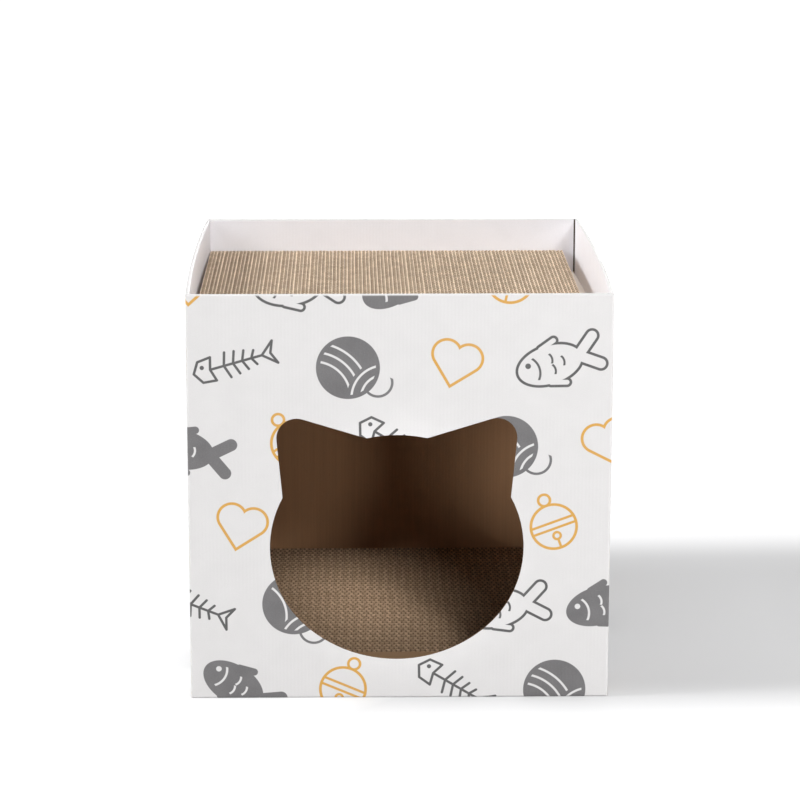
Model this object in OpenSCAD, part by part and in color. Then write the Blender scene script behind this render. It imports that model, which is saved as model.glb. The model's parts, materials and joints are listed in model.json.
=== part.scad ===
// Cardboard cat house: a printed carton folded from one blank, with a cat-head doorway in the
// front, a roll-over rim that lines a shallow tray on top, and two loose scratching pads, one in
// the tray and one on the cabin floor, each glued up from strips of double-wall corrugated board.
// Millimetres. The origin is on the ground under the middle of the carton, the front faces -Y.

/* [Carton] */
// Width of the front panel, crease to crease
carton_w = 370; // [320:1:440]
// Depth from the front face to the back face
carton_d = 400; // [340:1:480]
// Height from the ground to the top of the rim
carton_h = 365; // [330:1:440]
// Thickness of the corrugated board of the carton
board_t = 1.8; // [1.2:0.1:3]
// How far each side wall bows outwards at the middle of its depth
side_bow = 3.5; // [1:0.25:8]
// Width of the flap that glues the left panel to the back panel
glue_flap_w = 35; // [20:1:60]
// Slope cut from each end of the glue flap
glue_flap_slope = 12; // [4:1:20]

/* [Flaps of the floor and the shelf] */
// Gap left between the ends of the front and back flaps
flap_gap = 24; // [8:1:60]
// Gap at the seam where the left and right flaps meet
seam_gap = 1; // [0.4:0.1:4]
// Room between the side edge of a flap and the wall beside it
flap_side_gap = 1; // [0.4:0.1:3]
// How much each side of a flap narrows towards its free end
flap_taper = 6; // [2:0.5:15]

/* [Doorway] */
// Width of the round head of the doorway
head_w = 223; // [180:0.2:260]
// Height of the round head of the doorway
head_h = 204.2; // [170:0.2:230]
// Height of the lowest point of the doorway above the ground
sill_h = 35.9; // [28:0.1:50]
// Radius of the ear tips
ear_tip_r = 17.7; // [8:0.1:22]
// How far the doorway lies to the left of the middle of the front
doorway_left = 2.6; // [0:0.1:10]

/* [Top tray] */
// Depth of the tray from the rim down to its shelf
tray_depth = 53.6; // [40:0.2:80]
// Slit in the rim at the right-hand tray corners
corner_slit = 1.4; // [0.6:0.1:4]

/* [Scratching pads] */
// Thickness of a pad, which is the height of its strips
pad_h = 22; // [15:0.5:30]
// Thickness of the double-wall board of a strip
strip_t = 7.1; // [5:0.1:10]
// Glue line between two strips
glue_line = 0.04; // [0.02:0.01:0.2]
// Thickness of the paper liners of a strip
liner_t = 0.35; // [0.2:0.05:0.8]
// Depth to which the flutes lie below the liners, above and below
flute_sink = 1.2; // [0.4:0.1:4]
// Room for the strips' length between the side walls
strip_play = 10.4; // [3:0.2:60]
// Room to the right of the top pad, to get fingers under it
finger_gap = 12.4; // [8:0.2:40]
// Room in front of the floor pad
toe_gap = 51; // [10:1:120]

/* [Hidden] */

printed_white = "#e8e6e3";
tray_white = "#efebe8";
kraft_brown = "#b08a62";
pad_brown = "#c8b29a";

// Running clearance between a loose pad or a cut end and the board beside it
fit = 0.4;
// How far a cut runs past the faces that it goes through
overrun = 5;
// Facets of a fold or an ear tip, and of a full circle of a side wall's large radius
fold_fn = 48;
bow_fn = 6000;
// The doorway's outline, as shares of the half width and half height of its head
side_r_share = 0.949;
ear_notch_share = 0.211;
ear_tip_x_share = 0.783;
ear_tip_z_share = 0.9725;
ear_waist_share = 0.896;
ear_root_share = 0.9845;
// Place of the middle liner in a strip, as a share of its thickness
middle_liner_share = 0.57;

// The side walls are arcs of one radius through the corners and the bowed middle
side_r = (carton_d * carton_d / 4 + side_bow * side_bow) / (2 * side_bow);
side_centre_x = carton_w / 2 + side_bow - side_r;
side_sweep = asin(carton_d / (2 * side_r));

shelf_z = carton_h - tray_depth;
base_z = 2 * board_t;
cabin_w = carton_w - 2 * board_t;
cabin_d = carton_d - 2 * board_t;
tray_w = carton_w - 4 * board_t;
tray_d = carton_d - 4 * board_t;

strip_pitch = strip_t + glue_line;
strip_len = min(cabin_w, tray_d) - strip_play;
top_strips = floor((tray_w - fit - finger_gap + glue_line) / strip_pitch);
floor_strips = floor((cabin_d - board_t - fit - toe_gap + glue_line) / strip_pitch);

head_a = head_w / 2;
head_b = head_h / 2;
head_z = sill_h + head_b;

// Height of the head's outline above its centre at a place across it
function head_rise(x) = head_b * sqrt(1 - x * x / (head_a * head_a));

// Touching point of the tangent from p to the circle at c; turn is 1 for its left side, -1 for its right
function tangent_point(p, c, r, turn) =
    let (
        gap = norm(c - p),
        reach = sqrt(gap * gap - r * r),
        angle = atan2(c.y - p.y, c.x - p.x) + turn * asin(r / gap)
    )
    p + reach * [cos(angle), sin(angle)];

// Four-arc oval with the given half length along X and half height along Y
module oval_long(a, b) {
    end_r = side_r_share * b;
    flat_r = ((a - end_r) * (a - end_r) + b * b - end_r * end_r) / (2 * (b - end_r));
    join_x = (a - end_r) * flat_r / (flat_r - end_r);
    for (end = [-1, 1]) translate([end * (a - end_r), 0]) circle(r = end_r, $fn = 180);
    intersection() {
        translate([0, b - flat_r]) circle(r = flat_r, $fn = 180);
        translate([0, flat_r - b]) circle(r = flat_r, $fn = 180);
        square([2 * join_x, 2 * flat_r], center = true);
    }
}

module oval(a, b) {
    rotate(a < b ? 90 : 0) oval_long(max(a, b), min(a, b));
}

// One ear, drawn as the two tangents from the head to its round tip
module ear() {
    tip = [ear_tip_x_share * head_a, ear_tip_z_share * head_b];
    notch_x = ear_notch_share * head_a;
    waist_x = ear_waist_share * head_a;
    notch = [notch_x, ear_root_share * head_rise(notch_x)];
    waist = [waist_x, ear_root_share * head_rise(waist_x)];
    inner = tangent_point(notch, tip, ear_tip_r, 1);
    outer = tangent_point(waist, tip, ear_tip_r, -1);
    polygon([[0, 0], notch, inner, tip, outer, waist]);
    translate(tip) circle(r = ear_tip_r, $fn = fold_fn);
}

module doorway_outline() {
    oval(head_a, head_b);
    ear();
    mirror([1, 0]) ear();
}

// Section of a folded board: X from its outer to its inner face, Y along it.
// Each end is rounded by a fold towards the inner face, or towards the outer one.
module board_section(length, low_inwards, high_inwards) {
    intersection() {
        square([board_t, length]);
        union() {
            translate([0, board_t]) square([board_t, length - 2 * board_t]);
            translate([low_inwards ? board_t : 0, board_t]) circle(r = board_t, $fn = fold_fn);
            translate([high_inwards ? board_t : 0, length - board_t]) circle(r = board_t, $fn = fold_fn);
        }
    }
}

// The carton's plan, taken in from the outer faces
module sleeve_area(inset) {
    intersection() {
        translate([side_centre_x, 0]) circle(r = side_r - inset, $fn = bow_fn);
        translate([-side_centre_x, 0]) circle(r = side_r - inset, $fn = bow_fn);
        square([carton_w + 4 * side_bow, carton_d - 2 * inset], center = true);
    }
}

// A flat front sheet between two places across, its outer face set back from the front
module flat_sheet(x_low, x_high, set_back, z_low, z_high, low_inwards, high_inwards) {
    translate([x_low, set_back - carton_d / 2, z_low])
        rotate([90, 0, 90])
            linear_extrude(x_high - x_low)
                board_section(z_high - z_low, low_inwards, high_inwards);
}

// A bowed right-hand sheet, its outer face set in from the side
module bowed_sheet(set_in, half_length, z_low, z_high, low_inwards, high_inwards) {
    intersection() {
        translate([side_centre_x, 0, 0])
            rotate(-side_sweep)
                rotate_extrude(angle = 2 * side_sweep, $fn = bow_fn)
                    translate([side_r - set_in, z_low])
                        mirror([1, 0])
                            board_section(z_high - z_low, low_inwards, high_inwards);
        translate([0, -half_length, 0]) cube([carton_w, 2 * half_length, carton_h]);
    }
}

// Front wall with all four edges rounded by its creases
module front_wall() {
    intersection() {
        flat_sheet(-carton_w / 2, carton_w / 2, 0, 0, carton_h, true, true);
        translate([-carton_w / 2, -carton_d / 2, 0])
            linear_extrude(carton_h)
                mirror([1, -1]) board_section(carton_w, true, true);
    }
}

module front_panel() {
    color(printed_white) difference() {
        front_wall();
        translate([-doorway_left, board_t + overrun - carton_d / 2, head_z])
            rotate([90, 0, 0])
                linear_extrude(board_t + 2 * overrun) doorway_outline();
    }
}

module back_panel() {
    color(printed_white) mirror([0, 1, 0]) front_wall();
}

module side_wall() {
    bowed_sheet(0, carton_d / 2 - board_t, board_t, carton_h, true, true);
}

module right_panel() {
    color(printed_white) side_wall();
}

module left_panel() {
    color(printed_white) mirror([1, 0, 0]) side_wall();
}

// Flap of the left panel, glued to the inside of the back panel
module glue_flap() {
    low = base_z + flap_side_gap;
    high = shelf_z - 2 * board_t - flap_side_gap;
    color(kraft_brown)
        translate([-cabin_w / 2, cabin_d / 2, 0])
            rotate([90, 0, 0])
                linear_extrude(board_t)
                    polygon([
                        [0, low], [glue_flap_w, low + glue_flap_slope],
                        [glue_flap_w, high - glue_flap_slope], [0, high],
                    ]);
}

// Rim linings: the top flaps turned over the wall's edge and down to the shelf. At the left the
// end linings close up to the bowed side lining, and at the right they leave a slit.
module end_rim() {
    flat_sheet(
        -tray_w / 2, tray_w / 2 - corner_slit, board_t,
        shelf_z - board_t, carton_h, true, false
    );
}

module side_rim() {
    bowed_sheet(board_t, cabin_d / 2 - fit, shelf_z - 2 * board_t, carton_h, true, false);
}

module front_rim() {
    color(tray_white) end_rim();
}

module back_rim() {
    color(tray_white) mirror([0, 1, 0]) end_rim();
}

module right_rim() {
    color(tray_white) side_rim();
}

module left_rim() {
    color(tray_white) mirror([1, 0, 0]) side_rim();
}

// A front flap, hinged along its front edge: half width there, place and reach, and its level
module end_flap(half_width, hinge_y, level) {
    reach = -hinge_y - flap_gap / 2;
    translate([0, hinge_y, level])
        linear_extrude(board_t)
            polygon([
                [-half_width, 0], [half_width, 0],
                [half_width - flap_taper, reach], [flap_taper - half_width, reach],
            ]);
}

// A right flap, hinged along the bowed wall: how far in that is, half length there and its level
module side_flap(inset, half_length, level) {
    hinge_x = carton_w / 2 + side_bow;
    translate([0, 0, level])
        linear_extrude(board_t)
            intersection() {
                sleeve_area(inset);
                polygon([
                    [hinge_x, -half_length], [hinge_x, half_length],
                    [seam_gap / 2, half_length - flap_taper],
                    [seam_gap / 2, flap_taper - half_length],
                ]);
            }
}

// The shelf: the left and right flaps below, the front and back flaps lapped over them
module end_shelf_flap() {
    color(tray_white) end_flap(tray_w / 2 - flap_side_gap, -tray_d / 2, shelf_z - board_t);
}

module side_shelf_flap() {
    color(tray_white) side_flap(2 * board_t, cabin_d / 2 - flap_side_gap, shelf_z - 2 * board_t);
}

module front_shelf_flap() {
    end_shelf_flap();
}

module back_shelf_flap() {
    mirror([0, 1, 0]) end_shelf_flap();
}

module right_shelf_flap() {
    side_shelf_flap();
}

module left_shelf_flap() {
    mirror([1, 0, 0]) side_shelf_flap();
}

// The base: the front and back flaps on the ground, the left and right flaps lapped over them
module end_base_flap() {
    color(printed_white) end_flap(carton_w / 2 - flap_side_gap, -cabin_d / 2, 0);
}

module side_base_flap() {
    color(kraft_brown) side_flap(board_t, cabin_d / 2 - flap_side_gap, board_t);
}

module front_base_flap() {
    end_base_flap();
}

module back_base_flap() {
    mirror([0, 1, 0]) end_base_flap();
}

module right_base_flap() {
    side_base_flap();
}

module left_base_flap() {
    mirror([1, 0, 0]) side_base_flap();
}

// Section of one strip: three liners, with the flutes between them sunk a little
module strip_section() {
    middle = middle_liner_share * strip_t;
    flutes = [[liner_t, middle - liner_t / 2], [middle + liner_t / 2, strip_t - liner_t]];
    difference() {
        square([strip_t, pad_h]);
        for (flute = flutes, end = [-flute_sink, pad_h - flute_sink])
            translate([flute[0], end]) square([flute[1] - flute[0], 2 * flute_sink]);
    }
}

// A pad: strips along Y, side by side along +X
module strips(count) {
    for (i = [0 : count - 1])
        translate([i * strip_pitch, strip_len, 0])
            rotate([90, 0, 0])
                linear_extrude(strip_len) strip_section();
}

module top_pad() {
    color(pad_brown)
        translate([fit - tray_w / 2, tray_d / 2 - fit - strip_len, shelf_z])
            strips(top_strips);
}

// The floor pad lies turned by a quarter, against the back of the cabin
module floor_pad() {
    depth = floor_strips * strip_pitch - glue_line;
    color(pad_brown)
        translate([strip_len / 2, cabin_d / 2 - board_t - fit - depth, base_z])
            rotate(90)
                strips(floor_strips);
}

front_panel();
right_panel();
back_panel();
left_panel();
glue_flap();
front_rim();
right_rim();
back_rim();
left_rim();
front_shelf_flap();
right_shelf_flap();
back_shelf_flap();
left_shelf_flap();
front_base_flap();
right_base_flap();
back_base_flap();
left_base_flap();
top_pad();
floor_pad();
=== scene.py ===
"""Looks of a folded cardboard cat house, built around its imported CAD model.

The boards of the carton keep their CAD shapes and get a corrugated-board finish: a
white printed liner on one face, bare kraft on the other and the flutes on each cut
edge. The two scratching pads are built anew from their paper layers, so that every
strip has its open flutes.
"""

from __future__ import annotations

import json
import logging
import math
import random
from dataclasses import dataclass, field
from enum import Enum, IntEnum
from functools import partial, reduce
from typing import Sequence, Union

import bmesh
import bpy
from mathutils import Matrix, Vector

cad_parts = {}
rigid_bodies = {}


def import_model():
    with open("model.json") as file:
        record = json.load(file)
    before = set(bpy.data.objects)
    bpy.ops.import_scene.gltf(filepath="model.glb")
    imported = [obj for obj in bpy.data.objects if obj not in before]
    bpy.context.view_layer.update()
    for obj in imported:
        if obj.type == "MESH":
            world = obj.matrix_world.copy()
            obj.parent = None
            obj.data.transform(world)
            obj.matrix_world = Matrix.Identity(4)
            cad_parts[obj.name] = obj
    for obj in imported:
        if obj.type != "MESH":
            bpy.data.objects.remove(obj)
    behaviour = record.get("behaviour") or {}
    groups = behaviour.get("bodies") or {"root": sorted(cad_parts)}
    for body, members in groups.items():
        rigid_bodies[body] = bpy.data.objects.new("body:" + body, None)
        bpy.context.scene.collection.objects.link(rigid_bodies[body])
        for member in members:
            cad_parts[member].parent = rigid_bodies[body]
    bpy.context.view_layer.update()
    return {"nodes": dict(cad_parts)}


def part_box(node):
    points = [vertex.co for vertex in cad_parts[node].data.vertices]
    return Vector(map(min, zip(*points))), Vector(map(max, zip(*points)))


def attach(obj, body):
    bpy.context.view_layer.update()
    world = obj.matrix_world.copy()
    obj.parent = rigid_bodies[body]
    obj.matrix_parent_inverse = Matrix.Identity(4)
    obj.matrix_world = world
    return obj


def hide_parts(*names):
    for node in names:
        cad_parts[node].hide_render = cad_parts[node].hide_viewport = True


LOG = logging.getLogger("cat_house")
MM = 0.001
PAPER_GLOSS = 0.35
SHARP_ANGLE = 70.0

Colour = tuple[float, float, float]
Point = tuple[float, float, float]
Pair = tuple[float, float]
Socket = bpy.types.NodeSocket
Tree = bpy.types.NodeTree
Feed = Union[float, Sequence[float], Socket]


def scaled(colour: Colour, factor: float) -> Colour:
    """Returns a colour made lighter or darker."""
    return tuple(channel * factor for channel in colour)


class Graph:
    """A node tree, with short calls for the nodes that the finishes need."""

    def __init__(self, tree: Tree) -> None:
        """Keeps the tree that the calls add to."""
        self.tree = tree

    def node(self, kind: str, **settings: object) -> bpy.types.Node:
        """Adds a node.

        Args:
            kind: Blender's name for the node.
            settings: Properties of the node, by name.

        Returns:
            The new node.
        """
        made = self.tree.nodes.new(kind)
        for name, value in settings.items():
            setattr(made, name, value)
        return made

    def feed(self, socket: Socket, value: Feed) -> None:
        """Links a socket into another, or sets a plain value on it.

        Args:
            socket: The input to fill.
            value: The output to link, or the value to set.
        """
        if isinstance(value, Socket):
            self.tree.links.new(value, socket)
        else:
            socket.default_value = value

    def filled(self, made: bpy.types.Node, *values: Feed) -> Socket:
        """Feeds the inputs that a node uses, in order.

        Args:
            made: The node.
            values: What its inputs get, from the first on.

        Returns:
            The first output that the node uses.
        """
        for socket, value in zip([s for s in made.inputs if s.enabled], values):
            self.feed(socket, value)
        return next(s for s in made.outputs if s.enabled)

    def math(self, operation: str, *values: Feed, clamp: bool = False) -> Socket:
        """Works out a value from others."""
        made = self.node("ShaderNodeMath", operation=operation, use_clamp=clamp)
        return self.filled(made, *values)

    def times(self, first: Feed, second: Feed) -> Socket:
        """Multiplies two values."""
        return self.math("MULTIPLY", first, second)

    def less(self, first: Feed, second: Feed) -> Socket:
        """Takes the second value from the first."""
        return self.math("SUBTRACT", first, second)

    def vector(self, operation: str, *values: Feed) -> Socket:
        """Works out a vector, or a value from vectors."""
        return self.filled(self.node("ShaderNodeVectorMath", operation=operation), *values)

    def combine(self, x: Feed, y: Feed, z: Feed = 0.0) -> Socket:
        """Makes a vector of three values."""
        return self.filled(self.node("ShaderNodeCombineXYZ"), x, y, z)

    def split(self, value: Feed) -> tuple[Socket, ...]:
        """Takes a vector apart into its three values."""
        return tuple(self.filled(self.node("ShaderNodeSeparateXYZ"), value).node.outputs)

    def mix(self, share: Feed, low: Feed, high: Feed) -> Socket:
        """Mixes two colours.

        Args:
            share: How much of the second colour there is, from 0 to 1.
            low: The first colour.
            high: The second colour.

        Returns:
            The mixed colour.
        """
        made = self.node("ShaderNodeMix", data_type="RGBA", blend_type="MIX")
        colours = [c if isinstance(c, Socket) else (*c, 1.0) for c in (low, high)]
        return self.filled(made, share, *colours)

    def mottle(self, share: Feed, colour: Colour, tones: Pair) -> Socket:
        """Lets a colour vary between a darker and a lighter tone of it."""
        return self.mix(share, *(scaled(colour, tone) for tone in tones))

    def spread(
        self, value: Feed, low: float, high: float, to_low: float = 0.0, to_high: float = 1.0
    ) -> Socket:
        """Spreads a value from one range to another on a smooth step."""
        made = self.node("ShaderNodeMapRange", interpolation_type="SMOOTHSTEP")
        return self.filled(made, value, low, high, to_low, to_high)

    def about(self, middle: float, swing: float, share: Feed) -> Socket:
        """Lets a value swing about its middle with a share from 0 to 1."""
        return self.math("MULTIPLY_ADD", share, swing, middle - swing / 2)

    def noise(self, place: Feed, scale: float, detail: float, roughness: float) -> Socket:
        """Makes a noise with values near 0.5."""
        made = self.node("ShaderNodeTexNoise", noise_dimensions="3D")
        return self.filled(made, place, scale, detail, roughness)

    def group(self, tree: Tree, **values: Feed) -> bpy.types.bpy_prop_collection:
        """Places a node group.

        Args:
            tree: The group.
            values: What its inputs get, by name.

        Returns:
            The group's outputs.
        """
        made = self.node("ShaderNodeGroup", node_tree=tree)
        for name, value in values.items():
            self.feed(made.inputs[name], value)
        return made.outputs


class Kind(Enum):
    """Kinds of socket that a node group has."""

    VALUE = "NodeSocketFloat"
    VECTOR = "NodeSocketVector"


class Group(Graph):
    """A shader node group under construction."""

    def __init__(self, name: str, inputs: dict[str, Kind], outputs: Sequence[str]) -> None:
        """Starts a group with its sockets.

        Args:
            name: Name of the group.
            inputs: Names of its inputs, with the kind of each.
            outputs: Names of its outputs, which are values.
        """
        super().__init__(bpy.data.node_groups.new(name, "ShaderNodeTree"))
        for sockets, way in ((inputs, "INPUT"), (dict.fromkeys(outputs, Kind.VALUE), "OUTPUT")):
            for socket, kind in sockets.items():
                self.tree.interface.new_socket(socket, in_out=way, socket_type=kind.value)
        self.inputs = self.node("NodeGroupInput").outputs
        self.outputs = self.node("NodeGroupOutput").inputs

    def put(self, name: str, value: Feed) -> None:
        """Feeds one of the group's outputs."""
        self.feed(self.outputs[name], value)


class Stroke(Group):
    """A group that draws one printed motif, as distances in millimetres from its edges.

    The pens are named for their use, with half the width of the line that each draws.
    """

    BOLD = 1.05
    ROUND = 1.0
    PEN = 0.95
    FINE = 0.85
    HAIR = 0.8

    def __init__(self, name: str, *outputs: str) -> None:
        """Starts a motif with one place going in and the named distances coming out."""
        super().__init__(name, {"Place": Kind.VECTOR}, outputs)
        self.place = self.inputs["Place"]

    def folded(self, x: bool = False, y: bool = False) -> Socket:
        """Lays one half of the motif on the other.

        Args:
            x: True to fold the left half over.
            y: True to fold the lower half over.

        Returns:
            The place on what is left.
        """
        px, py, _ = self.split(self.place)
        across = self.math("ABSOLUTE", px) if x else px
        upward = self.math("ABSOLUTE", py) if y else py
        return self.combine(across, upward)

    def offset(self, point: Pair, at: Feed | None) -> Socket:
        """Returns the way from a point to the place, or to the folded place if that is given."""
        return self.vector("SUBTRACT", self.place if at is None else at, (*point, 0.0))

    def disc(self, centre: Pair, radius: float, at: Feed | None = None) -> Socket:
        """Returns the distance from the edge of a disc."""
        return self.less(self.vector("LENGTH", self.offset(centre, at)), radius)

    def oval(self, centre: Pair, half: Pair) -> Socket:
        """Measures nearly the distance from the edge of an oval.

        Args:
            centre: Its middle.
            half: Half its width and half its height.

        Returns:
            The distance.
        """
        offset = self.offset(centre, None)
        near = self.vector("LENGTH", self.vector("DIVIDE", offset, (*half, 1.0)))
        far = self.vector("LENGTH", self.vector("DIVIDE", offset, (half[0] ** 2, half[1] ** 2, 1.0)))
        rise = self.times(near, self.less(near, 1.0))
        return self.math("DIVIDE", rise, self.math("MAXIMUM", far, 1e-4))

    def line(self, start: Pair, end: Pair, half: float, at: Feed | None = None) -> Socket:
        """Measures the distance from the edge of a straight stroke with round ends.

        Args:
            start: Where the stroke starts.
            end: Where it ends.
            half: Half its width.
            at: The folded place, for a stroke that is drawn on both halves.

        Returns:
            The distance.
        """
        way = (end[0] - start[0], end[1] - start[1], 0.0)
        offset = self.offset(start, at)
        along = self.vector("DOT_PRODUCT", offset, way)
        share = self.math("DIVIDE", along, way[0] ** 2 + way[1] ** 2, clamp=True)
        return self.less(self.vector("DISTANCE", offset, self.vector("SCALE", way, share)), half)

    def side(self, point: Pair, way: Pair, at: Feed) -> Socket:
        """Returns the distance from a straight edge through a point, which looks one way."""
        return self.vector("DOT_PRODUCT", self.offset(point, at), (*way, 0.0))

    def rim(self, distance: Feed, half: float) -> Socket:
        """Returns the distance from a line drawn along an edge."""
        return self.less(self.math("ABSOLUTE", distance), half)

    def ring(self, centre: Pair, radius: float, half: float) -> Socket:
        """Returns the distance from a circle drawn as a line."""
        return self.rim(self.disc(centre, radius), half)

    def join(self, *distances: Feed) -> Socket:
        """Returns the distance from several shapes taken together."""
        return reduce(partial(self.math, "MINIMUM"), distances)

    def within(self, *distances: Feed) -> Socket:
        """Returns the distance from what several shapes share."""
        return reduce(partial(self.math, "MAXIMUM"), distances)


@dataclass(frozen=True)
class PrintInks:
    """Inks of the print and how its motifs are laid out on the unfolded blank."""

    grey: Colour = (0.132, 0.128, 0.131)
    dark: Colour = (0.065, 0.064, 0.064)
    gold: Colour = (0.665, 0.348, 0.047)
    cell_w: float = 92.5 * MM
    cell_h: float = 73.0 * MM
    lift: float = 0.026
    turn: float = 1.2
    drift: float = 7.0
    motif_size: float = 1.18
    row_shift: float = 2.0
    edge: float = 0.16


class PrintMotif(Enum):
    """Motifs of the print, in the order in which a row repeats them."""

    SOLID_FISH = 0
    BELL = 1
    FISH_BONE = 2
    YARN_BALL = 3
    HEART = 4
    LINE_FISH = 5


class Effects:
    """Shader node groups that several finishes share, each built once."""

    def __init__(self, board_t: float, wave: float, inks: PrintInks) -> None:
        """Builds every group.

        Args:
            board_t: Thickness of the carton's board in metres.
            wave: Length of one of its flutes in metres.
            inks: Inks and layout of the print.
        """
        self.inks = inks
        self.fibre = self.make_fibre()
        self.section = self.make_section(board_t, wave)
        self.washboard = self.make_washboard()
        self.scuff = self.make_scuff()
        self.fish = self.make_fish()
        self.bell = self.make_bell()
        self.bone = self.make_bone()
        self.ball = self.make_ball()
        self.heart = self.make_heart()
        self.print = self.make_print()

    def make_fibre(self) -> Tree:
        """Makes the mottle and fine tooth of paper.

        Returns:
            The group.
        """
        group = Group("paper_fibre", {"Place": Kind.VECTOR}, ("Tone", "Fleck", "Height"))
        place = group.inputs["Place"]
        cloud = group.noise(place, scale=45.0, detail=4.0, roughness=0.55)
        grain = group.noise(place, scale=900.0, detail=3.0, roughness=0.6)
        drawn_out = group.vector("MULTIPLY", place, (1.0, 1.0, 0.22))
        hair = group.noise(drawn_out, scale=1500.0, detail=2.0, roughness=0.6)
        group.put("Tone", group.math("MULTIPLY_ADD", grain, 0.5, group.times(cloud, 0.5)))
        group.put("Fleck", group.spread(hair, low=0.64, high=0.74))
        group.put("Height", group.math("ADD", grain, hair))
        return group.tree

    def make_section(self, board_t: float, wave: float) -> Tree:
        """Makes the layers of a single-wall board, solid through its thickness.

        Args:
            board_t: Thickness of the board in metres.
            wave: Length of one of its flutes in metres.

        Returns:
            The group.
        """
        inputs = dict.fromkeys(("Depth", "Across"), Kind.VALUE)
        group = Group("board_section", inputs, ("White", "Hollow"))
        liner, medium = 0.32 * MM, 0.16 * MM
        coat, bare = 0.6 * liner, 0.75 * liner
        core = 0.4 * medium
        soft = 0.1 * liner
        swing = board_t / 2 - liner - medium / 2
        depth = group.inputs["Depth"]
        sway = group.math("SINE", group.times(group.inputs["Across"], 2 * math.pi / wave))
        middle = group.math("MULTIPLY_ADD", sway, swing, board_t / 2)
        gap = group.math("ABSOLUTE", group.less(depth, middle))
        paper = group.spread(gap, medium, core)
        inside = group.times(
            group.spread(depth, liner - soft, liner + soft),
            group.spread(depth, board_t - liner + soft, board_t - liner - soft),
        )
        group.put("White", group.spread(depth, bare, coat))
        group.put("Hollow", group.times(inside, group.less(1.0, paper)))
        return group.tree

    def make_washboard(self) -> Tree:
        """Makes the faint ribs that flutes press into a liner, and the streaks along them.

        Returns:
            The group.
        """
        inputs = dict.fromkeys(("Across", "Up", "Wave"), Kind.VALUE)
        group = Group("washboard", inputs, ("Rib", "Streak"))
        across = group.inputs["Across"]
        turn = group.math("DIVIDE", group.times(across, 2 * math.pi), group.inputs["Wave"])
        stretch, bend = 0.03, 1.6
        place = group.combine(across, group.times(group.inputs["Up"], stretch))
        wander = group.noise(place, scale=260.0, detail=2.0, roughness=0.6)
        rib = group.math("SINE", group.math("MULTIPLY_ADD", wander, bend, turn))
        group.put("Rib", group.math("MULTIPLY_ADD", rib, 0.5, 0.5))
        group.put("Streak", group.noise(place, scale=170.0, detail=3.0, roughness=0.65))
        return group.tree

    def make_scuff(self) -> Tree:
        """Makes the worn, cracked paper along creases and edges.

        Returns:
            The group.
        """
        inputs = {"Place": Kind.VECTOR, "Distance": Kind.VALUE, "Reach": Kind.VALUE}
        group = Group("crease_wear", inputs, ("Wear",))
        place = group.inputs["Place"]
        spent = group.math("DIVIDE", group.inputs["Distance"], group.inputs["Reach"])
        near = group.math("SUBTRACT", 1.0, spent, clamp=True)
        broken = group.noise(place, scale=380.0, detail=4.0, roughness=0.65)
        patches = group.noise(place, scale=38.0, detail=2.0, roughness=0.5)
        rough = group.times(broken, patches)
        group.put("Wear", group.spread(group.times(near, rough), low=0.20, high=0.34))
        return group.tree

    def make_fish(self) -> Tree:
        """Draws a fish with a forked tail, two fins, an eye, a gill and scales.

        Returns:
            The motif.
        """
        stroke = Stroke("motif_fish", "Body", "Detail")
        half = stroke.folded(y=True)
        body = stroke.join(
            stroke.oval((-6.0, 0.0), (25.0, 15.0)),
            stroke.line((16.0, 0.0), (30.0, 11.0), 4.6, half),
            stroke.line((-9.0, 13.0), (2.0, 16.5), 2.8, half),
        )
        eye = stroke.disc((-21.5, 4.0), 2.1)
        gill = stroke.within(
            stroke.ring((-27.0, 0.0), 13.0, stroke.FINE), stroke.disc((-14.0, 0.0), 9.0)
        )
        scales = [
            stroke.within(stroke.ring((x - 6.5, y), 6.5, stroke.HAIR), stroke.disc((x, y), 4.0))
            for x, y in ((-3.0, 4.2), (-3.0, -4.2), (5.0, 0.0))
        ]
        stroke.put("Body", body)
        stroke.put("Detail", stroke.join(eye, gill, *scales))
        return stroke.tree

    def make_bell(self) -> Tree:
        """Draws a round collar bell: its ring, its band, its hole and its slot.

        Returns:
            The motif.
        """
        stroke = Stroke("motif_bell", "Line")
        half = stroke.folded(x=True)
        drawn = stroke.join(
            stroke.ring((0.0, 0.0), 17.0, stroke.BOLD),
            stroke.ring((0.0, 21.5), 4.4, stroke.ROUND),
            stroke.ring((0.0, -7.4), 2.7, stroke.PEN),
            stroke.line((0.0, -10.2), (0.0, -16.6), stroke.PEN),
            stroke.line((0.0, 3.4), (16.0, 3.4), stroke.PEN, half),
            stroke.line((0.0, -1.6), (16.4, -1.6), stroke.PEN, half),
        )
        stroke.put("Line", drawn)
        return stroke.tree

    def make_bone(self) -> Tree:
        """Draws a fish bone: a head, a spine with ribs and a tail.

        Returns:
            The motif.
        """
        stroke = Stroke("motif_fish_bone", "Line")
        half = stroke.folded(y=True)
        head = ((-32.0, 0.0), (-27.0, 8.0), (-17.0, 9.0), (-19.5, 0.0))
        tail = ((20.0, 0.0), (30.0, 8.6), (26.5, 0.0))
        rib_lengths = ((-9.0, 9.6), (-2.0, 8.6), (5.0, 7.2), (12.0, 5.4))
        ribs = [((x, 0.0), (x + 3.0, reach)) for x, reach in rib_lengths]
        pairs = [*zip(head, head[1:]), *zip(tail, tail[1:]), *ribs]
        bones = [stroke.line(start, end, stroke.PEN, half) for start, end in pairs]
        spine = stroke.line((-19.5, 0.0), (20.0, 0.0), stroke.PEN)
        eye = stroke.disc((-25.0, 3.0), 1.6)
        stroke.put("Line", stroke.join(spine, eye, *bones))
        return stroke.tree

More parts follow.
